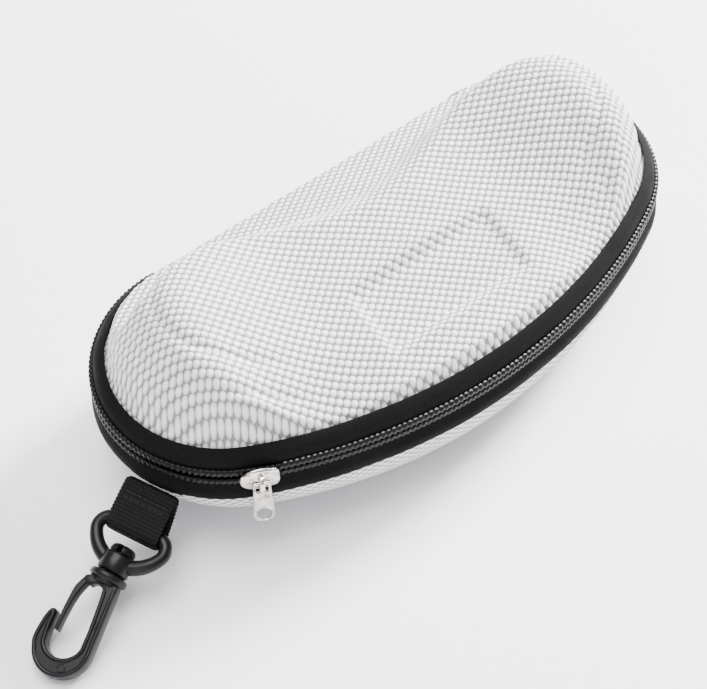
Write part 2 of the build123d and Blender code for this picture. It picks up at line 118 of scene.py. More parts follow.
def cubic(t, a, b, slope_a, slope_b):
    """From a at t 0 to b at t 1, with a slope at each end."""
    ends = (2 * t**3 - 3 * t**2 + 1) * a + (3 * t**2 - 2 * t**3) * b
    return ends + (t**3 - 2 * t**2 + t) * slope_a + (t**3 - t**2) * slope_b


def hermite(x, xs, ys):
    """Height over x of a smooth line through (xs, ys) that doesn't overshoot."""
    xs, ys = np.asarray(xs, float), np.asarray(ys, float)
    h = np.diff(xs)
    s = np.diff(ys) / h
    m = np.empty_like(ys)
    m[1:-1] = np.where(s[:-1] * s[1:] > 0, 2 * s[:-1] * s[1:] / (s[:-1] + s[1:] + 1e-9), 0)
    m[0], m[-1] = s[0], s[-1]
    i = np.clip(np.searchsorted(xs, x) - 1, 0, len(xs) - 2)
    t = (x - xs[i]) / h[i]
    return cubic(t, ys[i], ys[i + 1], h[i] * m[i], h[i] * m[i + 1])


def inset_of(x, y):
    """Distance inward from the zip outline, seen from above."""
    ax = np.abs(x)
    fan = (ax * FRONT_CENTRE <= END_X * (FRONT_CENTRE - y)) | ((y > 0) & (ax < END_X))
    front = FRONT_RADIUS - np.hypot(ax, FRONT_CENTRE - y)
    end = END_RADIUS - np.hypot(ax - END_X, y)
    return np.minimum(BACK_Y - y, np.where(fan, front, end))


def top_form(x, y):
    """The saddle with its raised, kidney-shaped crest and the shelf behind it."""
    lobe = smooth((np.abs(x) - LOBE_START) / LOBE_RUN)
    crest = hermite(np.abs(x), CREST_X, CREST_Z)
    crest_y = hermite(np.abs(x), CREST_X, CREST_Y)
    ahead = np.maximum(crest_y - y, 0)
    slope, curve = SADDLE_SLOPE - SLOPE_LOST * lobe, SADDLE_CURVE + CURVE_GAINED * lobe
    platform = crest - slope * ahead - curve * ahead**2
    shelf = SHELF_Z - SHELF_SLOPE * (y - SHELF_Y)
    return shelf + (platform - shelf) * (1 - smooth((y - crest_y) / CREST_FALL))


def smaller(a, b, k):
    """The smaller of two, with the change-over rounded."""
    h = np.clip(0.5 + 0.5 * (b - a) / k, 0, 1)
    return b + (a - b) * h - k * h * (1 - h)


def lid_height(x, y, deeper=0.0):
    """Height of the lid's skin, drawn in by deeper."""
    inward = inset_of(x, y)
    z = smaller(top_form(x, y) - deeper, hermite(inward - deeper, WALL_IN, WALL_Z), WALL_BLEND)
    near_end = smooth((np.abs(x) - 40) / 14) * (1 - smooth((y - 6) / 10))
    z = z - near_end * sum(GROOVE * np.exp(-(((inward - at) / half) ** 2)) for at, half in GROOVE_LINES)
    middle = float(top_form(np.array(0.0), np.array(PANEL_Y))) - deeper - PANEL_SINK
    floor = middle + np.tan(radians(PANEL_TILT)) * (y - PANEL_Y)
    inside_x = 1 - smooth((np.abs(x) - PANEL_X) / PANEL_EDGE)
    inside_y = 1 - smooth((np.abs(y - PANEL_Y) - PANEL_HALF) / PANEL_EDGE)
    return z + (np.minimum(floor, z) - z) * (inside_x * inside_y)


def d_curve(side, end, arc, front, back=0):
    """Points of the D drawn in at the sides and ends, from the right back corner round the front."""
    r = max(END_RADIUS - side, SMALLEST_RADIUS)
    cx, cy = HALF_LENGTH - end - r, BACK_Y - side - r
    reach = cy - FRONT_Y - side
    big = (cx**2 + reach**2 - r**2) / (2 * (reach - r))
    centre = FRONT_Y + side + big
    low = atan2(cy - centre, cx)
    a = np.linspace(pi / 2, low, arc, endpoint=False)
    b = np.linspace(low, -pi - low, front, endpoint=False)
    c = np.linspace(-pi - low, -1.5 * pi, arc + 1)
    parts = [
        np.stack([cx + r * np.cos(a), cy + r * np.sin(a)], 1),
        np.stack([big * np.cos(b), centre + big * np.sin(b)], 1),
        np.stack([-cx + r * np.cos(c), cy + r * np.sin(c)], 1),
    ]
    if back:
        t = np.linspace(-cx, cx, back + 1)[1:]
        parts.append(np.stack([t, np.full_like(t, BACK_Y - side)], 1))
    return np.concatenate(parts)


def along_lengths(points):
    """Distance along a line of points."""
    return np.concatenate([[0], np.cumsum(np.linalg.norm(np.diff(points, axis=0), axis=1))])


def normals_of(line, closed=False):
    """Unit normals of a line of a plane, to the left of its direction."""
    tangent = np.roll(line, -1, 0) - np.roll(line, 1, 0) if closed else np.gradient(line, axis=0)
    tangent /= np.linalg.norm(tangent, axis=1)[:, None]
    return np.stack([-tangent[:, 1], tangent[:, 0]], 1)


def fuller(value, power):
    """A power that keeps the sign, to square up a circle."""
    return np.sign(value) * np.abs(value) ** power


# ---------------------------------------------------------------- meshes
def new_object(name, vertices, faces, uv=None, sharp=None):
    """A smooth-shaded mesh object from millimetre coordinates."""
    mesh = bpy.data.meshes.new(name)
    mesh.from_pydata((np.asarray(vertices, float) * MM).tolist(), [], [list(f) for f in faces])
    mesh.validate()
    mesh.shade_smooth()
    if sharp:
        mesh.set_sharp_from_angle(angle=radians(sharp))
    if uv is not None:
        layer = mesh.uv_layers.new(name="lattice")
        index = np.empty(len(mesh.loops), np.int32)
        mesh.loops.foreach_get("vertex_index", index)
        layer.data.foreach_set("uv", np.asarray(uv, np.float32)[index].ravel())
    return add(name, mesh)


def grid_faces(rows, columns, wrap_rows=False, wrap_columns=False, start=0, flip=False):
    """Quads of a grid of points numbered row by row."""
    i = np.arange(rows if wrap_rows else rows - 1)
    j = np.arange(columns if wrap_columns else columns - 1)
    i, j = np.meshgrid(i, j, indexing="ij")
    i2, j2 = (i + 1) % rows, (j + 1) % columns
    corners = [i * columns + j, i2 * columns + j, i2 * columns + j2, i * columns + j2]
    quads = np.stack(corners, -1).reshape(-1, 4)
    if flip:
        quads = quads[:, ::-1]
    return quads + start


class Heap:
    """Collects several patches into one mesh."""

    def __init__(self):
        self.points, self.faces, self.uv, self.count = [], [], [], 0

    def grid(self, points, wrap_rows=False, wrap_columns=False, flip=False, uv=None, cap_rows=False):
        rows, columns = points.shape[:2]
        self.faces += grid_faces(rows, columns, wrap_rows, wrap_columns, self.count, flip).tolist()
        if cap_rows:
            first = [self.count + j for j in range(columns)]
            last = [self.count + (rows - 1) * columns + j for j in range(columns)]
            self.faces += [first[::-1], last] if flip else [first, last[::-1]]
        self.points.append(points.reshape(-1, 3))
        self.uv.append(np.zeros((rows * columns, 2)) if uv is None else uv.reshape(-1, 2))
        self.count += rows * columns
        return self

    def mesh(self, vertices, faces):
        self.faces += [[v + self.count for v in f] for f in faces]
        self.points.append(np.asarray(vertices, float))
        self.uv.append(np.zeros((len(vertices), 2)))
        self.count += len(vertices)
        return self

    def build(self, name, sharp=None):
        return new_object(name, np.concatenate(self.points), self.faces, np.concatenate(self.uv), sharp)


def dress(obj, material, body, stands_for=()):
    """Gives a piece its material and the body it rides, and hides the CAD nodes it stands for."""
    obj.data.materials.clear()
    obj.data.materials.append(material)
    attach(obj, body)
    if stands_for:
        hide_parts(*stands_for)
    return obj


def tube(line, radius, sides=14, closed=False, squash=1.0, up=None):
    """Points of a tube round a line; radius may vary along it, and squash flattens it along up."""
    line = np.asarray(line, float)
    n = len(line)
    if closed:
        tangent = np.roll(line, -1, 0) - np.roll(line, 1, 0)
    else:
        tangent = np.gradient(line, axis=0)
    tangent /= np.linalg.norm(tangent, axis=1)[:, None]
    up = np.asarray((0, 0, 1) if up is None else up, float)
    side = np.cross(tangent, up)
    side /= np.linalg.norm(side, axis=1)[:, None]
    normal = np.cross(side, tangent)
    angle = np.linspace(0, 2 * pi, sides, endpoint=False)
    radius = np.broadcast_to(np.asarray(radius, float), (n,))[:, None, None]
    c, s = np.cos(angle)[None, :, None], np.sin(angle)[None, :, None]
    return line[:, None] + (side[:, None] * c + squash * normal[:, None] * s) * radius


def turned(profile, sides=40, start=0.0, end=360.0):
    """Points of a profile of (along, radius) turned about the local x axis."""
    profile = np.asarray(profile, float)
    whole = end - start > 359.9
    angle = np.radians(np.linspace(start, end, sides, endpoint=not whole))
    along = np.broadcast_to(profile[:, :1], (len(profile), len(angle)))
    return np.stack([along, profile[:, 1:] * np.cos(angle), profile[:, 1:] * np.sin(angle)], -1)


def arc3(a, b, c, n=12):
    """Points on the circle through three points of a plane, without the last."""
    a, b, c = (complex(*p) for p in (a, b, c))
    w = (c - a) / (b - a)
    centre = (b - a) * (w - abs(w) ** 2) / (2j * w.imag) + a
    ta, tb, tc = (np.angle(p - centre) for p in (a, b, c))
    turn = (tc - ta) % (2 * pi)
    if (tb - ta) % (2 * pi) > turn:
        turn -= 2 * pi
    t = ta + np.linspace(0, turn, n, endpoint=False)
    return [(centre.real + abs(a - centre) * cos(x), centre.imag + abs(a - centre) * sin(x)) for x in t]


def rounded(points, radii, n=5):
    """A closed outline with its corners rounded."""
    out = []
    count = len(points)
    radii = [radii] * count if np.isscalar(radii) else radii
    for i, (p, r) in enumerate(zip(points, radii)):
        p = np.array(p, float)
        a, b = np.array(points[i - 1], float) - p, np.array(points[(i + 1) % count], float) - p
        la, lb = np.linalg.norm(a), np.linalg.norm(b)
        a, b = a / la, b / lb
        half = acos(np.clip(a @ b, -1, 1)) / 2
        cut = min(r / max(np.tan(half), 1e-6), 0.48 * la, 0.48 * lb)
        if cut < 1e-4 or r == 0:
            out.append(tuple(p))
            continue
        s, e = p + a * cut, p + b * cut
        for t in np.linspace(0, 1, n):
            out.append(tuple((1 - t) ** 2 * s + 2 * t * (1 - t) * p + t * t * e))
    return out


def plate(outlines, thickness, bevel, steps=3):
    """Vertices and faces of a flat piece with rounded edges, middle plane at local z 0."""
    curve = bpy.data.curves.new("outline", "CURVE")
    curve.dimensions = "2D"
    curve.fill_mode = "BOTH"
    for outline in outlines:
        path = curve.splines.new("POLY")
        path.points.add(len(outline) - 1)
        path.points.foreach_set("co", np.array([(x, y, 0, 1) for x, y in outline], np.float32).ravel())
        path.use_cyclic_u = True
    curve.extrude = thickness / 2 - bevel
    curve.bevel_depth = bevel
    curve.bevel_resolution = steps
    curve.offset = -bevel
    holder = add("outline", curve)
    bpy.context.view_layer.update()
    mesh = bpy.data.meshes.new_from_object(holder)
    vertices = np.array([v.co for v in mesh.vertices])
    faces = [list(p.vertices) for p in mesh.polygons]
    bpy.data.objects.remove(holder)
    bpy.data.curves.remove(curve)
    bpy.data.meshes.remove(mesh)
    return vertices, faces


class Place:
    """A local frame: x, y, z axes and an origin, in millimetres."""

    def __init__(self, origin, x, z):
        self.o = np.array(origin, float)
        self.x = np.array(x, float)
        self.z = np.array(z, float)
        self.y = np.cross(self.z, self.x)

    def __call__(self, points):
        p = np.asarray(points, float)
        return self.o + p[..., :1] * self.x + p[..., 1:2] * self.y + p[..., 2:] * self.z


STRAP_ANGLE, CLIP_SLOPE, SLIDER_ANGLE = radians(22.0), radians(16.3), radians(26.4)
strap_out = np.array((-cos(STRAP_ANGLE), -sin(STRAP_ANGLE), 0))
strap_across = np.cross(strap_out, (0, 0, 1))
strap_origin = np.array((-END_X, 0, 0)) + strap_out * END_RADIUS
STRAP = Place(strap_origin, strap_out, strap_across)
BAR = (9.3, 13.4)
ROOT = (2.0, 19.2)
clip_x = strap_out * cos(CLIP_SLOPE) + np.array((0, 0, -sin(CLIP_SLOPE)))
clip_z = strap_out * sin(CLIP_SLOPE) + np.array((0, 0, cos(CLIP_SLOPE)))
CLIP = Place(strap_origin + strap_out * BAR[0] + np.array((0, 0, BAR[1])), clip_x, clip_z)
slider_out = np.array((-sin(SLIDER_ANGLE), -cos(SLIDER_ANGLE), 0))
slider_x = np.array((cos(SLIDER_ANGLE), -sin(SLIDER_ANGLE), 0))
SLIDER = Place(np.array((0, FRONT_CENTRE, ZIP_Z)) + slider_out * FRONT_RADIUS, slider_x, slider_out)


# ---------------------------------------------------------------- materials
class Graph:
    """A procedural material built from a few node shorthands."""

    def __init__(self, name, **sockets):
        self.material = bpy.data.materials.new(name)
        self.material.use_nodes = True
        self.tree = self.material.node_tree
        self.shader = next(n for n in self.tree.nodes if n.type == "BSDF_PRINCIPLED")
        for key, value in sockets.items():
            self.shader.inputs[key.replace("_", " ")].default_value = value

    def put(self, socket, value):
        if isinstance(value, bpy.types.NodeSocket):
            self.tree.links.new(value, socket)
        else:
            socket.default_value = value

    def math(self, kind, a, b=0.0):
        node = self.tree.nodes.new("ShaderNodeMath")
        node.operation = kind
        self.put(node.inputs[0], a)
        self.put(node.inputs[1], b)
        return node.outputs[0]

    def coords(self):
        return self.tree.nodes.new("ShaderNodeTexCoord").outputs["Object"]

    def lattice(self):
        node = self.tree.nodes.new("ShaderNodeUVMap")
        node.uv_map = "lattice"
        parts = self.tree.nodes.new("ShaderNodeSeparateXYZ")
        self.tree.links.new(node.outputs[0], parts.inputs[0])
        return parts.outputs[0], parts.outputs[1]

    def noise(self, scale, detail=3.0, roughness=0.5, vector=None, stretch=None):
        node = self.tree.nodes.new("ShaderNodeTexNoise")
        node.inputs["Scale"].default_value = scale
        node.inputs["Detail"].default_value = detail
        node.inputs["Roughness"].default_value = roughness
        vector = self.coords() if vector is None else vector
        if stretch:
            mapping = self.tree.nodes.new("ShaderNodeMapping")
            mapping.inputs["Scale"].default_value = stretch
            self.tree.links.new(vector, mapping.inputs[0])
            vector = mapping.outputs[0]
        self.tree.links.new(vector, node.inputs["Vector"])
        return node.outputs[0]

    def ramp(self, factor, *stops):
        node = self.tree.nodes.new("ShaderNodeValToRGB")
        ramp = node.color_ramp
        while len(ramp.elements) < len(stops):
            ramp.elements.new(0.5)
        for element, (at, colour) in zip(ramp.elements, stops):
            element.position = at
            element.color = (*colour, 1) if hasattr(colour, "__len__") else (colour, colour, colour, 1)
        self.tree.links.new(factor, node.inputs[0])
        return node.outputs[0]

    def blend(self, factor, a, b, kind="MIX"):
        node = self.tree.nodes.new("ShaderNodeMix")
        node.data_type = "RGBA"
        node.blend_type = kind
        self.put(node.inputs[0], factor)
        self.put(node.inputs[6], a)
        self.put(node.inputs[7], b)
        return node.outputs[2]

    def set(self, name, value):
        self.put(self.shader.inputs[name], value)
        return self

    def bump(self, height, distance, strength=1.0):
        node = self.tree.nodes.new("ShaderNodeBump")
        node.inputs["Strength"].default_value = strength
        node.inputs["Distance"].default_value = distance
        self.tree.links.new(height, node.inputs["Height"])
        self.tree.links.new(node.outputs[0], self.shader.inputs["Normal"])
        return self


NODULE_U, NODULE_V = 0.66, 0.80


def weave_height(g, u, v):
    """Plain weave from lattice coordinates: upper yarns swell at every second crossing, brick fashion."""
    half_sum = g.math("MULTIPLY", g.math("ADD", u, v), 0.5)
    half_gap = g.math("MULTIPLY", g.math("SUBTRACT", u, v), 0.5)
    fa = g.math("SUBTRACT", g.math("FRACT", half_sum), 0.5)
    fb = g.math("SUBTRACT", g.math("FRACT", half_gap), 0.5)
    du = g.math("DIVIDE", g.math("ADD", fa, fb), NODULE_U)
    dv = g.math("DIVIDE", g.math("SUBTRACT", fa, fb), NODULE_V)
    spread = g.math("ADD", g.math("MULTIPLY", du, du), g.math("MULTIPLY", dv, dv))
    return g.math("SQRT", g.math("MAXIMUM", g.math("SUBTRACT", 1.0, spread), 0.0))


def case_fabric():
    g = Graph("case_fabric", Roughness=0.5)
    u, v = g.lattice()
    height = weave_height(g, u, v)
    strand = g.noise(2600, 2, 0.6)
    patch = g.noise(90, 3, 0.6)
    # Base colour follows the weave's height: the grey in the gaps between nodules is painted shade of the
    # weave's hollows, and the strand noise adds real yarn-to-yarn tone.
    weave_shade_and_tone = g.math("ADD", height, g.math("MULTIPLY", g.math("SUBTRACT", strand, 0.5), 0.25))
    gap_shade, low = (0.0, (0.22, 0.22, 0.23)), (0.30, (0.40, 0.40, 0.41))
    base = g.ramp(weave_shade_and_tone, gap_shade, low, (0.62, (0.70, 0.70, 0.71)), (1.0, (0.93, 0.93, 0.925)))
    tint = g.ramp(patch, (0.3, (0.90, 0.91, 0.92)), (0.7, (1.0, 0.995, 0.985)))
    g.set("Base Color", g.blend(1.0, base, tint, "MULTIPLY"))
    g.set("Roughness", g.ramp(strand, (0.2, 0.36), (0.8, 0.58)))
    g.set("Specular IOR Level", 0.5)
    return g.bump(g.math("ADD", height, g.math("MULTIPLY", strand, 0.18)), 0.00030, 1.0).material


def knit():
    """Black knitted lining: columns of loops that lean from side to side."""
    g = Graph("lining_knit", Roughness=0.85)
    u, v = g.lattice()
    column = g.math("SINE", g.math("MULTIPLY", u, 2 * pi))
    lean = g.math("MULTIPLY", g.math("SINE", g.math("MULTIPLY", u, 4 * pi)), 0.7)
    wave = g.math("MULTIPLY", column, g.math("SINE", g.math("ADD", g.math("MULTIPLY", v, 2 * pi), lean)))
    fluff = g.noise(1500, 4, 0.7)
    tone = g.math("ADD", g.math("MULTIPLY", wave, 0.25), fluff)
    g.set("Base Color", g.ramp(tone, (0.2, (0.006, 0.006, 0.0065)), (0.9, (0.026, 0.026, 0.028))))
    g.set("Specular IOR Level", 0.12)
    return g.bump(tone, 0.00016, 0.9).material


def black_cloth(name, dark=0.0016, light=0.0055, roughness=0.62, depth=0.00009):
    """Fine black tape: a tight twill from lattice coordinates with fuzz on top."""
    g = Graph(name, Roughness=roughness)
    u, v = g.lattice()
    rib = g.math("SINE", g.math("MULTIPLY", g.math("ADD", u, g.math("MULTIPLY", v, 0.5)), 2 * pi))
    row = g.math("SINE", g.math("MULTIPLY", v, 2 * pi))
    fuzz = g.noise(2200, 4, 0.65)
    mottle = g.noise(160, 3, 0.6)
    weave = g.math("ADD", g.math("MULTIPLY", g.math("MULTIPLY", rib, row), 0.35), fuzz)
    shade = g.math("ADD", weave, g.math("MULTIPLY", mottle, 0.35))
    low, high = (dark, dark, dark * 1.05), (light, light, light * 1.05)
    g.set("Base Color", g.ramp(shade, (0.25, low), (1.1 / 1.35, high)))
    g.set("Roughness", g.ramp(mottle, (0.3, roughness - 0.07), (0.7, roughness + 0.08)))
    g.set("Specular IOR Level", 0.05)
    return g.bump(weave, depth, 0.8).material


def coil_nylon():
    g = Graph("zip_coil", Roughness=0.36)
    grain = g.noise(900, 3, 0.6)
    g.set("Base Color", g.ramp(grain, (0.3, (0.002, 0.002, 0.002)), (0.7, (0.005, 0.005, 0.005))))
    g.set("Roughness", g.ramp(grain, (0.3, 0.24), (0.7, 0.38)))
    g.set("Specular IOR Level", 0.12)
    return g.bump(grain, 0.00003, 0.5).material


def plated_metal():
    g = Graph("zip_metal", Metallic=1.0, Roughness=0.16)
    mottle = g.noise(420, 5, 0.65)
    scratch = g.noise(700, 2, 0.5, stretch=(0.25, 1.0, 3.0))
    # The brown stop of this ramp lays brownish-dark patches on the metal: painted reflection of the dark
    # tape and hollows round it. The same noise also varies the roughness, as real wear.
    painted_dark_reflection, grey, bright = (0.24, 0.20, 0.16), (0.55, 0.52, 0.48), (0.78, 0.76, 0.73)
    g.set("Base Color", g.ramp(mottle, (0.34, painted_dark_reflection), (0.44, grey), (0.62, bright)))
    rub = g.math("ADD", g.math("MULTIPLY", mottle, 0.6), g.math("MULTIPLY", scratch, 0.4))
    g.set("Roughness", g.ramp(rub, (0.3, 0.10), (0.7, 0.27)))
    return g.bump(scratch, 0.00002, 0.25).material


def webbing_cloth():
    g = Graph("webbing", Roughness=0.58)
    u, v = g.lattice()
    rib = g.math("ABSOLUTE", g.math("SINE", g.math("MULTIPLY", u, pi)))
    shifted = g.math("ADD", v, g.math("MULTIPLY", g.math("FLOOR", u), 0.5))
    ladder = g.math("ABSOLUTE", g.math("SINE", g.math("MULTIPLY", shifted, pi)))
    fuzz = g.noise(2600, 4, 0.7)
    relief = g.math("MULTIPLY", g.math("MULTIPLY", rib, ladder), 0.8)
    height = g.math("ADD", relief, g.math("MULTIPLY", fuzz, 0.4))
    g.set("Base Color", g.ramp(height, (0.1, (0.0015, 0.0015, 0.0015)), (0.95, (0.008, 0.008, 0.0085))))
    g.set("Roughness", g.ramp(fuzz, (0.3, 0.48), (0.7, 0.72)))
    g.set("Specular IOR Level", 0.1)
    return g.bump(height, 0.00016, 0.9).material


def moulded_plastic():
    g = Graph("clip_plastic", Roughness=0.3)
    grain = g.noise(3200, 3, 0.6)
    broad = g.noise(120, 3, 0.55)
    g.set("Base Color", g.ramp(broad, (0.3, (0.003, 0.003, 0.0035)), (0.7, (0.006, 0.006, 0.0065))))
    g.set("Specular IOR Level", 0.2)
    sheen = g.math("ADD", g.math("MULTIPLY", broad, 0.7), g.math("MULTIPLY", grain, 0.3))
    g.set("Roughness", g.ramp(sheen, (0.3, 0.26), (0.7, 0.42)))
    return g.bump(g.math("ADD", g.math("MULTIPLY", grain, 0.5), broad), 0.00003, 0.35).material


def foam():
    g = Graph("eva_foam", Roughness=0.8)
    cells = g.noise(1800, 4, 0.7)
    g.set("Base Color", g.ramp(cells, (0.3, (0.010, 0.010, 0.011)), (0.7, (0.026, 0.026, 0.028))))
    return g.bump(cells, 0.0001, 0.7).material


def thread_yarn():
    g = Graph("thread", Roughness=0.5)
    twist = g.noise(3000, 2, 0.5, stretch=(1.0, 1.0, 3.0))
    g.set("Base Color", g.ramp(twist, (0.3, (0.004, 0.004, 0.004)), (0.7, (0.014, 0.014, 0.015))))
    g.set("Specular IOR Level", 0.2)
    return g.bump(twist, 0.00004, 0.6).material


# Pale grey for the stitch dots along the coil: a painted glint, far lighter than black stitching.
def stitch_glint_grey():
    g = Graph("stitch_glint_grey", Roughness=0.45)
    twist = g.noise(3000, 2, 0.5)
    g.set("Base Color", g.ramp(twist, (0.3, (0.10, 0.10, 0.11)), (0.7, (0.26, 0.26, 0.27))))
    return g.bump(twist, 0.00003, 0.5).material


FABRIC = case_fabric()
KNIT = knit()
TAPE = black_cloth("zip_tape")
BINDING = black_cloth("binding_tape", dark=0.004, light=0.014, roughness=0.7, depth=0.00014)
COIL = coil_nylon()
METAL = plated_metal()
WEBBING = webbing_cloth()
PLASTIC = moulded_plastic()
FOAM = foam()
THREAD = thread_yarn()
STITCH_GLINT = stitch_glint_grey()


# ---------------------------------------------------------------- woven skins
def weave_relief(u, v):
    """The same plain weave as the material, for the geometry."""
    a, b = (u + v) / 2, (u - v) / 2
    fa, fb = a - np.floor(a) - 0.5, b - np.floor(b) - 0.5
    return np.sqrt(np.clip(1 - ((fa + fb) / NODULE_U) ** 2 - ((fa - fb) / NODULE_V) ** 2, 0, 1))


RELIEF = 0.30


def lid_skin():
    columns = int(2 * HALF_LENGTH / PITCH_X) + 2
    rows = int((BACK_Y - FRONT_Y) / PITCH_Y) + 2
    u = (np.arange(4 * columns) + 0.5) / 4 - columns // 2
    v = (np.arange(3 * rows) + 0.5) / 3 - int(-FRONT_Y / PITCH_Y) - 1
    u, v = np.meshgrid(u, v, indexing="ij")
    x, y = u * PITCH_X, v * PITCH_Y
    z = lid_height(x, y)
    step = 0.2
    slope_x = (lid_height(x + step, y) - lid_height(x - step, y)) / (2 * step)
    slope_y = (lid_height(x, y + step) - lid_height(x, y - step)) / (2 * step)
    length = np.sqrt(1 + slope_x**2 + slope_y**2)
    lift = RELIEF * (weave_relief(u, v) - 1)
    px, py, pz = x - slope_x / length * lift, y - slope_y / length * lift, z + lift / length
    keep = inset_of(x, y) > LID_EDGE + 0.05
    faces = grid_faces(*x.shape)
    faces = faces[keep.ravel()[faces].all(1)]
    used = np.unique(faces)
    renumber = np.zeros(x.size, int)
    renumber[used] = np.arange(len(used))
    points = np.stack([px, py, pz], -1).reshape(-1, 3)[used]
    uv = np.stack([u, v], -1).reshape(-1, 2)[used]
    obj = new_object("lid_fabric", points, renumber[faces], uv)
    return dress(obj, FABRIC, "lid", ["top_outer_fabric"])


def bowl_level(t, deeper):
    """(z, side, end) of the bottom shell at t from the rim (0) over the belly to the foot (1)."""
    if t < BELLY_AT:
        k = t / BELLY_AT
        inset = RIM_INSET - (RIM_INSET - BELLY_INSET) * k**0.7 + deeper
        return RIM_Z - (RIM_Z - BELLY_Z) * k, inset, inset
    a = (t - BELLY_AT) / (1 - BELLY_AT) * pi / 2
    fall, inset = 1 - cos(a), BELLY_INSET + deeper
    return BELLY_Z - (BELLY_Z - deeper) * sin(a), inset + FOOT_SIDE * fall, inset + FOOT_END * fall


def star_rings(outline, z, steps):
    """Rings at steps (0 the outline, 1 the middle line) that close an outline, with heights from z."""
    rings = []
    for k in 1 - np.asarray(steps):
        x = outline[:, 0] * (STAR_SPINE + (1 - STAR_SPINE) * k)
        y = STAR_Y + (outline[:, 1] - STAR_Y) * k
        rings.append(np.stack([x, y, z(x, y)], 1))
    return rings


def bowl_points(deeper, levels, counts, foot_rings):
    """Grid of the bottom shell's form, drawn in by deeper: rows down the wall, then rings of the foot."""
    rows = []
    for t in np.linspace(0, 1, levels):
        z, side, end = bowl_level(t, deeper)
        line = d_curve(side, end, *counts)
        rows.append(np.column_stack([line, np.full(len(line), z)]))
    steps = np.linspace(0, 1, foot_rings + 1)[1:]
    return np.stack(rows + star_rings(rows[-1][:, :2], lambda x, y: np.full_like(x, deeper), steps))


def base_skin():
    levels = 62
    points = bowl_points(0.0, levels, (192, 286, 210), 26)
    du = np.gradient(points, axis=1)
    dv = np.gradient(points, axis=0)
    normal = np.cross(dv, du)
    size = np.linalg.norm(normal, axis=2, keepdims=True)
    normal = np.where(size > 1e-9, normal / np.maximum(size, 1e-9), np.array((0, 0, -1.0)))
    u = (np.arange(points.shape[1]) + 0.5) / 3
    wall = along_lengths(points[:, points.shape[1] // 2])
    v = np.arange(points.shape[0]) / 2 + 0.25
    v[levels:] = v[levels - 1] + (wall[levels:] - wall[levels - 1]) / PITCH_Y
    u, v = np.meshgrid(u, v)
    lift = RELIEF * (weave_relief(u, v) - 1)
    lift[levels:] *= 0.4
    points = points + normal * lift[..., None]
    points[..., 2] = np.maximum(points[..., 2], 0.0)
    obj = Heap().grid(points, uv=np.stack([u, v], -1)).build("base_fabric")
    return dress(obj, FABRIC, "base", ["bottom_outer_fabric"])


def lid_star(deeper, counts, rings):
    """Grid of the lid's form, drawn in by deeper, as rings from its edge to the middle line."""
    start = d_curve(LID_EDGE + deeper, LID_EDGE + deeper, *counts)
    edge = np.column_stack([start, np.full(len(start), LID_EDGE_Z)])
    steps = (1 - np.cos(np.linspace(0, pi / 2, rings)))[1:]
    return np.stack([edge] + star_rings(start, lambda x, y: lid_height(x, y, deeper), steps))


def lattice_of(points):
    """Lattice coordinates from lengths along and across a patch, a whole number of repeats along."""
    along = along_lengths(points[0])
    along = along / along[-1] * max(round(along[-1]), 1)
    u, v = np.meshgrid(along, along_lengths(points[:, points.shape[1] // 2]))
    return np.stack([u, v], -1)


def inner_parts():
    counts, coarse = (44, 120, 60), (24, 60, 30)
    points = bowl_points(SHELL - 0.3, 22, counts, 12)
    obj = Heap().grid(points, flip=True, uv=lattice_of(points)).build("base_lining")
    dress(obj, KNIT, "base", ["bottom_lining"])
    outer, inner = bowl_points(0.9, 16, coarse, 8), bowl_points(3.5, 16, coarse, 8)
    shell = np.concatenate([outer[::-1], inner])
    obj = Heap().grid(shell, flip=True).build("base_foam")
    dress(obj, FOAM, "base", ["bottom_eva_core"])
    points = lid_star(SHELL, counts, 40)
    obj = Heap().grid(points, uv=lattice_of(points)).build("lid_lining")
    dress(obj, KNIT, "lid", ["top_lining"])
    outer, inner = lid_star(1.3, counts, 40), lid_star(3.6, counts, 40)
    shell = np.concatenate([outer[::-1], inner])
    obj = Heap().grid(shell).build("lid_foam")
    dress(obj, FOAM, "lid", ["top_eva_core"])


lid_skin()
base_skin()
inner_parts()


# ---------------------------------------------------------------- zip
TAPE_U, TAPE_V = 0.5, 0.35


def outline_frames(arc, front):
    """Zip outline points, their outward directions and lengths along."""
    line = d_curve(0, 0, arc, front)
    out = d_curve(-1, -1, arc, front) - line
    out /= np.linalg.norm(out, axis=1)[:, None]
    return line, out, along_lengths(line)


def spline(points, n):
    """A smooth line through points of a plane."""
    points = np.asarray(points, float)
    t = along_lengths(points)
    fine = np.linspace(0, t[-1], n)
    out = []
    for axis in range(points.shape[1]):
        d = np.gradient(points[:, axis], t)
        i = np.clip(np.searchsorted(t, fine) - 1, 0, len(t) - 2)
        h = t[i + 1] - t[i]
        k = (fine - t[i]) / h
        out.append(cubic(k, points[i, axis], points[i + 1, axis], h * d[i], h * d[i + 1]))
    return np.stack(out, 1)


def ribbon(points, thickness, n):
    """Closed profile of a ribbon: a smooth outer line and an inner line set in from it."""
    outer = spline(points, n)
    half = np.linspace(-1, 1, n)
    slim = thickness * np.sqrt(np.clip(1 - np.abs(half) ** 8, 0.02, 1))
    inner = outer + normals_of(outer) * slim[:, None]
    return np.concatenate([outer, inner[::-1]])


def tape(name, body, profile, stands_for, frames):
    """A profile of (outward, up) carried along the zip outline, a little unevenly."""
    line, out, s = frames
    du, dv = 0.05 * np.sin(s / 9.0 + 1.7) * np.sin(s / 3.7), 0.04 * np.sin(s / 7.3 + 0.6)
    rows = [np.column_stack([line + out * (u + du)[:, None], ZIP_Z + v + dv]) for u, v in profile]
    u, v = np.meshgrid(s / TAPE_U, along_lengths(np.asarray(profile)) / TAPE_V)
    heap = Heap().grid(np.stack(rows), wrap_rows=True, uv=np.stack([u, v], -1))
    return dress(heap.build(name), TAPE, body, stands_for)


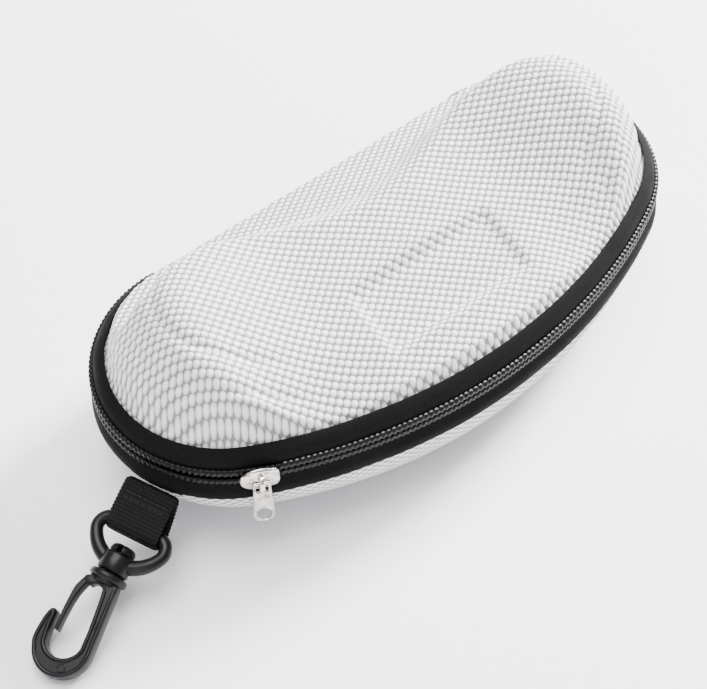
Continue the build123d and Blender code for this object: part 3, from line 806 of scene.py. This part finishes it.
def zip_parts():
    frames = outline_frames(70, 260)
    upper = [(-1.35, 0.35), (-1.25, 1.6), (-1.15, 2.9), (-1.75, 4.3), (-3.0, 5.5), (-4.35, 6.3)]
    upper = ribbon(upper, 0.7, 16)
    tape("zip_tape_upper", "lid", upper, ["upper_zipper_tape"], frames)
    lower = ribbon([(0.55, -7.6), (0.35, -6.0), (-0.55, -4.2), (-1.2, -2.6), (-1.35, -0.35)], 0.7, 14)
    tape("zip_tape_lower", "base", lower, ["lower_zipper_tape"], frames)

    line, out, s = frames
    total = s[-1]
    teeth = int(total / 1.42)
    per = 8
    fine = np.linspace(0, total, teeth * per + 1)
    dense = np.stack([np.interp(fine, s, line[:, 0]), np.interp(fine, s, line[:, 1])], 1)
    away = np.stack([np.interp(fine, s, out[:, 0]), np.interp(fine, s, out[:, 1])], 1)
    slider_s = fine[np.argmin(np.hypot(dense[:, 0] - SLIDER.o[0], dense[:, 1] - SLIDER.o[1]))]
    shut = smooth((slider_s - fine + 3.0) / 5.0)
    angle = np.linspace(0, 2 * pi, 16, endpoint=False)
    sides = ((1, "coil_upper", "lid", "upper_coil_row"), (-1, "coil_lower", "base", "lower_coil_row"))
    for sign, name, body, node in sides:
        phase = 0.0 if sign > 0 else 0.5
        rib = np.clip(np.sin(2 * pi * (fine / total * teeth + phase)) * 1.6 + 0.5, 0, 1) ** 0.8
        gap = 0.55 - 0.47 * shut
        centre_v = sign * (gap + 1.02)
        rows = []
        for a in angle:
            ru = 0.78 * (0.70 + 0.30 * rib)
            rv = 1.0 * (0.86 + 0.14 * rib)
            u = -0.72 + ru * fuller(cos(a), 0.75)
            z = ZIP_Z + centre_v + sign * rv * fuller(sin(a), 0.75)
            rows.append(np.column_stack([dense + away * u[:, None], z]))
        points = np.stack(rows)
        obj = Heap().grid(points, wrap_rows=True, flip=sign < 0).build(name)
        dress(obj, COIL, body, [node])

    # Small pale balls along the upper coil row, short of the slider: stitch bumps coloured pale as a painted
    # glint on the coil's edge.
    dots = Heap()
    ball = turned([(-0.42, 0.02), (-0.3, 0.13), (0, 0.19), (0.3, 0.13), (0.42, 0.02)], 7)
    for k in range(6, teeth - 4):
        at = (k + 0.25) * total / teeth
        if at > slider_s - 5:
            break
        i = int(round(at / total * (len(fine) - 1)))
        t = np.array((-away[i, 1], away[i, 0], 0))
        place = Place((*(dense[i] - away[i] * 0.75), ZIP_Z + 2.15), t, (*away[i], 0))
        dots.grid(place(ball), wrap_columns=True)
    dress(dots.build("coil_stitch_glints"), STITCH_GLINT, "lid")


def hinge_strip():
    rows = []
    xs = np.linspace(-49.2, 49.2, 99)
    section = [(0.5, -7.5), (0.45, -5.2), (0.25, -2.6), (0.45, -1.0), (0.5, 0.0)]
    section = spline(section + [(0.1, 1.2), (-0.9, 2.6), (-2.4, 4.4), (-4.05, 6.0)], 34)
    both = np.concatenate([section, (section + 0.7 * normals_of(section))[::-1]])
    for u, v in both:
        ripple = 0.10 * np.sin(xs / 1.9) * np.exp(-((v - 0.2) / 2.5) ** 2)
        rows.append(np.stack([xs, BACK_Y + u + ripple, np.full_like(xs, ZIP_Z + v)], 1))
    u, v = np.meshgrid(xs / TAPE_U, along_lengths(both) / TAPE_V)
    heap = Heap().grid(np.stack(rows), wrap_rows=True, flip=True, uv=np.stack([u, v], -1))
    obj = heap.build("hinge_strip", 60)
    obj.data.materials.append(TAPE)
    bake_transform(obj)
    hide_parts("hinge_lower_leaf", "hinge_upper_leaf")


def cad_finish(node, material):
    """Gives a CAD node that is shown as it is its material."""
    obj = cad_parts[node]
    for slot in obj.material_slots:
        slot.material = material
    if not obj.material_slots:
        obj.data.materials.append(material)


zip_parts()
hinge_strip()


# ---------------------------------------------------------------- slider and pull
def metal_parts():
    heap = Heap()
    rings = []
    angle = np.linspace(0, 2 * pi, 72, endpoint=False)
    dome = [(0.90, 0.42), (0.97, 0.50), (1.0, 0.70), (1.0, 0.95), (0.97, 1.16)]  # size and height of rings
    dome += [(0.90, 1.30), (0.78, 1.42), (0.55, 1.75), (0.3, 2.0), (0.02, 2.1)]
    nose = fuller(np.cos(angle), 0.85)
    for k, (size, high) in enumerate(dome):
        x = np.where(nose < 0, 4.8 * nose, 4.6 * fuller(nose, 0.62))
        y = 3.75 * fuller(np.sin(angle), np.where(nose < 0, 0.9, 0.6))
        waist = 1 - 0.10 * np.exp(-(((x - 2.6) / 0.9) ** 2))
        dent = -0.20 * np.exp(-(((x - 3.3) / 0.7) ** 2)) * (k > 5)
        rings.append(np.stack([x * size, y * size * waist, high + dent], 1))
    heap.grid(SLIDER(np.stack(rings)), wrap_columns=True)
    heap.faces.append(list(range(len(angle)))[::-1])
    inner = rounded([(-3.5, 1.4), (-1.8, 2.8), (3.4, 2.6), (3.4, -2.6), (-1.8, -2.8), (-3.5, -1.4)], 0.8)
    vertices, faces = plate([inner], 0.9, 0.25, 2)
    vertices[:, 2] += -3.05
    heap.mesh(SLIDER(vertices), faces)
    web = rounded([(-3.6, 0.14), (1.2, 0.14), (1.2, -0.14), (-3.6, -0.14)], 0.1)
    vertices, faces = plate([web], 3.4, 0.02, 1)
    vertices[:, 2] += -1.1
    heap.mesh(SLIDER(vertices), faces)
    lip, faces = plate([rounded([(-1.2, -3.0), (3.6, -3.0), (3.6, -3.55), (-1.2, -3.55)], 0.2)], 1.4, 0.1, 2)
    lip[:, 2] += 0.2
    heap.mesh(SLIDER(lip), faces)
    dress(heap.build("slider_shell", 40), METAL, "slider", ["slider_body"])

    side = [(-2.05, -0.3), (-2.05, 1.0)] + arc3((-2.05, 1.0), (-1.74, 1.75), (-1.0, 2.05), 7)[1:]
    side += [(-1.0, 2.05), (0, 2.12), (1.0, 2.05)]
    side += arc3((1.0, 2.05), (1.74, 1.75), (2.05, 1.0), 7)[1:] + [(2.05, 1.0), (2.05, -0.3)]
    path = np.array([(0, up, 1.4 + out) for up, out in side])
    points = tube(path, 0.5, 16, up=(1, 0, 0), squash=1.4)
    heap = Heap().grid(SLIDER(points), wrap_columns=True, cap_rows=True)
    dress(heap.build("slider_arch"), METAL, "slider", ["slider_bridge"])

    corners = [(-2.1, 0.45), (2.1, 0.45), (2.3, -7.0), (2.7, -13.0)]
    corners += [(1.9, -15.6), (-1.9, -15.6), (-2.7, -13.0), (-2.3, -7.0)]
    tab = rounded(corners, [0.5, 0.5, 3, 2.6, 1.6, 1.6, 2.6, 3])
    window = rounded([(-1.35, -0.6), (-1.5, -3.4), (1.5, -3.4), (1.35, -0.6)], 0.4)
    t = np.linspace(0, 2 * pi, 32, endpoint=False)
    hole = [(1.7 * cos(a) - 0.25 * sin(a), -12.2 + 2.5 * sin(a)) for a in t]
    vertices, faces = plate([tab, window, hole], 0.9, 0.28, 3)
    heap = Heap().mesh(SLIDER(vertices + np.array((0, 0, 2.2))), faces)
    ring = np.array([(1.95 * cos(a) - 0.28 * sin(a), -12.2 + 2.75 * sin(a), 2.55) for a in t])
    heap.grid(SLIDER(tube(ring, 0.24, 8, closed=True)), wrap_rows=True, wrap_columns=True)
    dress(heap.build("pull_tab_plate", 40), METAL, "pull", ["pull_tab"])


metal_parts()


# ---------------------------------------------------------------- webbing
def teardrop_line(bar_radius, root_radius, n):
    """Closed line round the root and the bar, with lengths along it, in strap coordinates."""
    dx, dy = BAR[0] - ROOT[0], BAR[1] - ROOT[1]
    turn = acos((root_radius - bar_radius) / hypot(dx, dy))
    along = atan2(dy, dx)
    bar = np.linspace(along + turn, along - turn, 40)
    root = np.linspace(along - turn, along - turn - (2 * pi - 2 * turn), 40)
    points = [(BAR[0] + bar_radius * cos(a), BAR[1] + bar_radius * sin(a)) for a in bar]
    points += [(ROOT[0] + root_radius * cos(a), ROOT[1] + root_radius * sin(a)) for a in root]
    points = np.array(points + points[:1])
    s = along_lengths(points)
    fine = np.linspace(0, s[-1], n + 1)
    return np.stack([np.interp(fine, s, points[:, 0]), np.interp(fine, s, points[:, 1])], 1), fine


def webbing_loop():
    count = 400
    line, s = teardrop_line(1.85 + 0.62, 0.8, count)
    line, s = line[:-1], s[:-1]
    ribs = round((s[-1] + s[1]) / 0.92)
    normal = normals_of(line, closed=True)
    phase = np.arange(count) / count * ribs
    rib = np.abs(np.sin(pi * phase))
    across = np.linspace(-1, 1, 29)
    half = 7.1
    section = [(w, 1) for w in across] + [(w, -1) for w in across[::-1]]
    rows = []
    uv = []
    for w, face in section:
        edge = 1 - abs(w) ** 10
        swell = 0.54 * sqrt(max(edge, 0.0)) * face
        ladder = np.abs(np.sin(pi * (w * 9.5 + 0.5 * np.floor(phase))))
        lift = face * (0.13 * rib * (0.45 + 0.55 * ladder) - 0.07) * (edge > 0.02)
        scallop = 0.10 * np.sin(2 * pi * phase) * (abs(w) > 0.93) * np.sign(w)
        reach = half * w + scallop + 0.12 * np.sin(phase / 4.1 + 1)
        flat = line - normal * (swell + lift)[:, None]
        rows.append(np.column_stack([flat, reach]))
        uv.append(np.column_stack([phase, np.full(count, w * 9.5)]))
    points = STRAP(np.stack(rows, 1))
    heap = Heap().grid(points, wrap_rows=True, wrap_columns=True, uv=np.stack(uv, 1))
    dress(heap.build("webbing_band", 50), WEBBING, "strap", ["webbing_loop"])

    along = np.array((BAR[0] - ROOT[0], BAR[1] - ROOT[1]))
    along /= np.linalg.norm(along)
    up = np.array((-along[1], along[0]))
    heap = Heap()
    for row, lower in enumerate((1.9, 3.3)):
        for k in range(7):
            w0 = -5.6 + k * 1.65  # where this stitch starts across the band
            t = np.linspace(0, 1, 9)
            height = (1.62 if row == 0 else 1.78) + 0.16 * np.sin(pi * t)
            at = np.array(ROOT) + along * lower
            path = np.column_stack([at[0] + up[0] * height, at[1] + up[1] * height, w0 + 1.25 * t])
            heap.grid(STRAP(tube(path, 0.17, 8, up=(*along, 0))), wrap_columns=True, cap_rows=True)
    dress(heap.build("webbing_stitches"), THREAD, "strap", ["webbing_stitching"])


webbing_loop()


# ---------------------------------------------------------------- ring, hook, gate
def plastic_parts():
    corner, shoulder, meeting = (0.0, 6.2), (1.433, 8.758), (4.362, 8.873)
    loop = arc3(corner, shoulder, meeting, 14) + arc3(meeting, (9.8, 0.0), (meeting[0], -meeting[1]), 40)
    loop += arc3((meeting[0], -meeting[1]), (shoulder[0], -shoulder[1]), (0.0, -6.2), 14) + [(0.0, -6.2)]
    fine = []
    for a, b in zip(loop, loop[1:] + loop[:1]):
        steps = max(int(hypot(b[0] - a[0], b[1] - a[1]) / 0.5), 1)
        dx, dy = b[0] - a[0], b[1] - a[1]
        fine += [(a[0] + dx * k / steps, a[1] + dy * k / steps, 0.0) for k in range(steps)]
    fine = np.array(fine)
    radius = 1.6 + 0.25 * smooth((fine[:, 0] - 4) / 5)
    heap = Heap().grid(CLIP(tube(fine, radius, 20, closed=True)), wrap_rows=True, wrap_columns=True)
    sleeve = [(7.45, 2.0), (7.4, 3.2), (7.55, 3.65), (8.0, 3.88)]
    sleeve += [(11.6, 3.9), (12.0, 3.75), (12.2, 3.3), (12.2, 2.0)]
    heap.grid(CLIP(turned(sleeve + sleeve[:1], 44)), wrap_columns=True, flip=True)
    dress(heap.build("swivel_ring_body", 50), PLASTIC, "ring", ["swivel_ring"])

    outline = [(14.0, -3.6), (14.0, 3.7), (16.2, 4.1), (22.0, 4.9)]
    outline += arc3((31.8, 6.3), (39.5, -0.6), (34.6, -7.9), 26)
    outline += arc3((34.6, -7.9), (34.0, -8.4), (33.3, -8.6), 4) + [(31.0, -8.75), (28.0, -8.7)]
    outline += arc3((26.3, -8.4), (25.2, -7.4), (25.9, -6.4), 8)
    outline += [(25.9, -6.4), (29.0, -6.05)] + arc3((33.0, -5.2), (34.9, -1.4), (31.2, 3.3), 18)
    outline += [(31.2, 3.3), (26.8, 2.75), (22.4, 2.0)] + arc3((17.4, 1.0), (15.9, -0.9), (17.0, -2.6), 10)
    outline += [(17.0, -2.6), (16.4, -5.0)]
    vertices, faces = plate([outline], 3.3, 0.55, 3)
    heap = Heap().mesh(CLIP(vertices), faces)
    closed = np.array(outline + outline[:1])
    s = along_lengths(closed)
    n = 220
    t = np.linspace(0, s[-1], n, endpoint=False)
    even = np.stack([np.interp(t, s, closed[:, 0]), np.interp(t, s, closed[:, 1])], 1)
    for _ in range(3):
        even = (np.roll(even, 1, 0) + 2 * even + np.roll(even, -1, 0)) / 4
    edge = even - normals_of(even, closed=True) * 0.62
    bead = 0.05 + 0.53 * smooth((edge[:, 0] - 14.6) / 2.6)
    for level in (1.45, -1.45):
        path = np.column_stack([edge, np.full(n, level)])
        heap.grid(CLIP(tube(path, bead, 12, closed=True)), wrap_rows=True, wrap_columns=True)
    for cx, cy, r in ((24.6, 3.45, 0.75), (36.6, 1.6, 0.95)):
        a = np.linspace(0, 2 * pi, 28, endpoint=False)
        ring = np.column_stack([cx + r * np.cos(a), cy + r * np.sin(a), np.full(28, 1.66)])
        heap.grid(CLIP(tube(ring, 0.11, 8, closed=True)), wrap_rows=True, wrap_columns=True)
    flange = [(12.5, 0.0), (12.5, 4.1), (12.7, 4.5), (13.1, 4.7), (13.8, 4.7)]
    flange += [(14.2, 4.45), (14.35, 4.0), (14.6, 3.4), (15.2, 2.9), (15.2, 0.0)]
    heap.grid(CLIP(turned(flange, 44)), wrap_columns=True, flip=True)
    post = [(12.6, 0.0), (12.6, 1.9), (7.15, 1.9), (7.1, 1.9)]
    heap.grid(CLIP(turned(post, 30)), wrap_columns=True)
    lobe = [(7.2, 0.35), (7.2, 3.0), (6.9, 3.2), (6.1, 3.1), (5.5, 2.7), (5.2, 2.0), (5.15, 0.35)]
    for start in (-78, 102):
        piece = turned(lobe, 18, start, start + 156)
        heap.grid(CLIP(piece), flip=True)
        for column in (0, -1):
            cap = CLIP(piece)[:, column]
            heap.mesh(cap, [list(range(len(cap)))])
    dress(heap.build("snap_hook_body", 45), PLASTIC, "hook", ["snap_hook"])

    top = spline([(15.6, -4.9), (18.2, -5.75), (22.0, -5.75), (25.8, -5.45), (29.4, -4.95)], 26)
    bottom = spline([(29.55, -4.1), (25.8, -4.35), (21.5, -4.45), (18.2, -4.0), (15.6, -3.1)], 26)
    tongue = [tuple(p) for p in top] + [tuple(p) for p in bottom]
    tongue += arc3((15.6, -3.1), (14.7, -4.0), (15.6, -4.9), 8)[1:]
    vertices, faces = plate([tongue], 3.0, 0.35, 3)
    heap = Heap().mesh(CLIP(vertices), faces)
    obj = heap.build("gate_tongue", 45)
    obj.data.materials.append(PLASTIC)
    start = CLIP(np.array((15.6, -4.0, 0.0))) * MM
    end = CLIP(np.array((19.6, -4.6, 0.0))) * MM
    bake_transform(obj)
    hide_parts("hook_gate")


plastic_parts()

for node, material in (
    ("webbing_tail", WEBBING),
    ("zip_start_tab", TAPE),
    ("zip_end_tab", TAPE),
    ("bottom_rim_binding", BINDING),
    ("top_rim_binding", BINDING),
):
    cad_finish(node, material)


# ---------------------------------------------------------------- floor and light
def stage():
    mesh = bpy.data.meshes.new("floor")
    size = 12.0
    corners = [(-size, -size, 0), (size, -size, 0), (size, size, 0), (-size, size, 0)]
    mesh.from_pydata(corners, [], [(0, 1, 2, 3)])
    floor = add("floor", mesh)
    g = Graph("floor", Roughness=0.75)
    g.set("Base Color", g.ramp(g.noise(6, 2, 0.5), (0.3, (0.93, 0.93, 0.945)), (0.7, (0.955, 0.955, 0.96))))
    g.set("Specular IOR Level", 0.2)
    mesh.materials.append(g.material)

    def area(name, at, towards, size, power, colour=(1, 1, 1)):
        light = bpy.data.lights.new(name, "AREA")
        light.shape = "RECTANGLE"
        light.size, light.size_y = size
        light.energy = power
        light.color = colour
        obj = add(name, light)
        obj.location = at
        obj.rotation_euler = (Vector(at) - Vector(towards)).to_track_quat("Z", "Y").to_euler()

    area("key", (1.0, 0.10, 0.62), (0, 0, 0.03), (0.35, 0.35), 70.0, (1.0, 0.985, 0.96))
    area("top", (0.0, 0.2, 1.3), (0, 0, 0), (1.0, 1.0), 36.0)
    area("fill", (-0.9, -0.6, 0.5), (0, 0, 0.03), (0.8, 0.6), 5.0, (0.95, 0.97, 1.0))
    world = bpy.data.worlds.new("World")
    bpy.context.scene.world = world
    world.use_nodes = True
    tree = world.node_tree
    background = tree.nodes["Background"]
    position = tree.nodes.new("ShaderNodeTexCoord")
    split = tree.nodes.new("ShaderNodeSeparateXYZ")
    fade = tree.nodes.new("ShaderNodeValToRGB")
    tree.links.new(position.outputs["Generated"], split.inputs[0])
    tree.links.new(split.outputs[2], fade.inputs[0])
    tree.links.new(fade.outputs[0], background.inputs[0])
    fade.color_ramp.elements[0].position = 0.02
    fade.color_ramp.elements[0].color = (0.22, 0.20, 0.19, 1)
    fade.color_ramp.elements[1].position = 0.55
    fade.color_ramp.elements[1].color = (0.95, 0.96, 1.0, 1)
    background.inputs[1].default_value = 0.7


stage()
